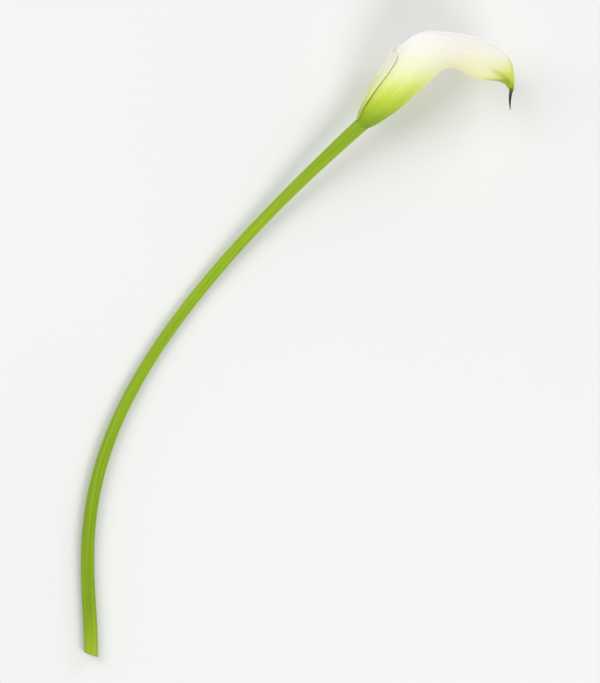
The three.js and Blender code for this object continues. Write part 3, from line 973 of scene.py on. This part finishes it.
# Cut face. Cells is the distance from the middle of a strand, and inward runs from 0 at the rim to -1.
CUT_SHADER = {
    "Roughness": 0.3,
    "Subsurface Weight": 0.3,
    "Subsurface Radius": (0.8, 1.0, 0.5),
    "Subsurface Scale": 0.0012,
}
PITH_SHADE = (224, 233, 176)
STRAND_SHADE = (158, 178, 84)
STRAND_SPANS = (("cells", 0.3, 0.12), ("inward", -0.12, -0.26, 0, 0.7))
STRAND_SCALE = 9.0
RIND_TINT = ((134, 164, 40), ("inward", -0.2, -0.05))
FIBRE_SCALE = 26.0
CUT_RELIEF = 0.12


def cut_material():
    """The wet cut face: pale pith with darker strands in it, and the green skin round it."""
    paint = Paint("stem_cut", CUT_SHADER)
    skin = paint.vector("skin")
    cells = paint.add("TexVoronoi", {"Vector": skin, "Scale": STRAND_SCALE}, feature="F1").outputs["Distance"]
    numbers = {"cells": cells, "inward": paint.number("along")}
    strands = paint.strength(numbers, STRAND_SPANS)
    base = paint.blend(strands, colour(PITH_SHADE), colour(STRAND_SHADE))
    base = paint.tinted(base, numbers, [RIND_TINT])
    height = paint.maths("SUBTRACT", paint.noise(skin, FIBRE_SCALE), strands)
    return paint.finish(base, paint.bump(height, CUT_RELIEF))


# Spadix. Floret is 0 between the florets and 1 on top of them, and share is how far up the finger.
SPADIX_SHADER = {
    "Roughness": 0.75,
    "Subsurface Weight": 0.2,
    "Subsurface Radius": (1.0, 0.6, 0.2),
    "Subsurface Scale": 0.0006,
    "Sheen Weight": 0.2,
}
POLLEN_SHADE = (236, 180, 56)
POLLEN_TINTS = (
    ((255, 228, 112), ("floret", 0.05, 0.7)),
    ((255, 238, 156), ("dust", 0.5, 0.7, 0, 0.6)),
)
OVARY_SHADE = (112, 128, 40)
OVARY_TINTS = (((196, 206, 116), ("floret", 0.05, 0.6)),)
OVARY_SPAN = (0.26, 0.3)
DUST_SCALE = 5200.0
DUST_RELIEF = 0.06


def spadix_material():
    """Pollen-covered florets, paler on top, with pale green ovaries at the foot."""
    paint = Paint("pollen", SPADIX_SHADER)
    dust = paint.noise(paint.place(), DUST_SCALE)
    numbers = {"floret": paint.number("floret"), "dust": dust}
    pollen = paint.tinted(colour(POLLEN_SHADE), numbers, POLLEN_TINTS)
    ovaries = paint.tinted(colour(OVARY_SHADE), numbers, OVARY_TINTS)
    base = paint.blend(paint.span(paint.number("share"), *OVARY_SPAN), ovaries, pollen)
    return paint.finish(base, paint.bump(dust, DUST_RELIEF))


# Floor
FLOOR_SHADES = ((230, 230, 229), (234, 234, 233))
FLOOR_CLOUDS = 3.0
FLOOR_ROUGHNESS = 0.7


def floor_material():
    """Plain and pale, with hardly any cloudiness."""
    paint = Paint("floor", {"Roughness": FLOOR_ROUGHNESS})
    darker, paler = (colour(shade) for shade in FLOOR_SHADES)
    return paint.finish(paint.blend(paint.noise(paint.place(), FLOOR_CLOUDS), darker, paler))


# Pieces. On the tail the edges count as far away, and all of it has the climb of one place on the petal.
FAR_FROM_EDGE = 100.0
TAIL_CLIMB = 30.0


def make_spathe():
    """Sheet and tail, which are one grown piece."""
    points, faces, values = sheet_mesh()
    tail_points, tail_faces, run = tail_mesh()
    tail_values = {
        "length": RIM_LENGTH + run,
        "margin": FAR_FROM_EDGE,
        "edge": FAR_FROM_EDGE,
        "climb": TAIL_CLIMB,
        "tipward": run,
    }
    faces += [tuple(corner + len(points) for corner in face) for face in tail_faces]
    for label, numbers in values.items():
        values[label] = np.concatenate([numbers, tail_values.get(label, 0.0) + np.zeros(len(run))])
    lifted = np.concatenate([points, tail_points]) + [0, 0, TOUCH_GAP]
    return make_piece("lily_spathe", laid(lifted), faces, values, [petal_material()])


def make_spadix():
    points, faces, values = spadix_mesh()
    lifted = points + [0, 0, NECK_HEIGHT + TOUCH_GAP]
    return make_piece("lily_spadix", laid(lifted), faces, values, [spadix_material()])


def make_stem():
    points, faces, values, face_materials = stem_mesh()
    return make_piece("lily_stem", points, faces, values, [stem_material(), cut_material()], face_materials)


pieces = {"spathe": make_spathe(), "spadix": make_spadix(), "stem": make_stem()}
for node, piece in pieces.items():
    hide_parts(node)
    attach(piece, "root")


# Floor, camera and light

def make_floor():
    mesh = bpy.data.meshes.new("floor")
    signs = ((-1, -1), (1, -1), (1, 1), (-1, 1))
    mesh.from_pydata([(x * FLOOR_REACH, y * FLOOR_REACH, 0) for x, y in signs], [], [(0, 1, 2, 3)])
    mesh.materials.append(floor_material())
    floor = bpy.data.objects.new("floor", mesh)
    bpy.context.scene.collection.objects.link(floor)
    floor.location.z = -FLOOR_DROP


def make_camera():
    """Looks square to the bloom's axis, which is the side that the photograph shows."""
    back, toward, axis = (Vector(direction) for direction in DIRECTIONS)
    lean = math.radians(AXIS_LEAN)
    right = back * math.sin(lean) + axis * math.cos(lean)
    up = axis * math.sin(lean) - back * math.cos(lean)
    spots = np.concatenate([[tuple(v.co) for v in piece.data.vertices] for piece in pieces.values()])
    reach = [spots @ np.array(direction) for direction in (right, up)]
    low, high = [each.min() for each in reach], [each.max() for each in reach]
    depth = (spots @ np.array(toward)).mean()
    centre = right * (low[0] + high[0]) / 2 + up * (low[1] + high[1]) / 2 + toward * depth
    seen = max(high[1] - low[1], (high[0] - low[0]) * IMAGE_HEIGHT / IMAGE_WIDTH) / FRAME_SHARE
    camera = bpy.data.objects.new("camera", bpy.data.cameras.new("camera"))
    bpy.context.scene.collection.objects.link(camera)
    camera.data.sensor_width = SENSOR
    camera.data.lens = SENSOR * CAMERA_DISTANCE / seen
    camera.location = centre - toward * CAMERA_DISTANCE
    camera.rotation_euler = Matrix((right, up, -toward)).transposed().to_euler()
    bpy.context.scene.camera = camera


def make_lamp(name, place, width, power):
    lamp = bpy.data.lights.new(name, "AREA")
    lamp.shape = "DISK"
    lamp.size = width
    lamp.energy = power
    light = bpy.data.objects.new(name, lamp)
    light.location = place
    light.rotation_euler = (-Vector(place)).to_track_quat("-Z", "Y").to_euler()
    bpy.context.scene.collection.objects.link(light)


def make_world():
    world = bpy.data.worlds.new("studio")
    world.use_nodes = True
    background = world.node_tree.nodes["Background"]
    background.inputs["Color"].default_value = (1.0, 1.0, 1.0, 1.0)
    background.inputs["Strength"].default_value = WORLD_STRENGTH
    bpy.context.scene.world = world


make_floor()
make_camera()
for name, (place, width, power) in LAMPS.items():
    make_lamp(name, place, width, power)
make_world()
bpy.context.scene.view_settings.view_transform = "Standard"
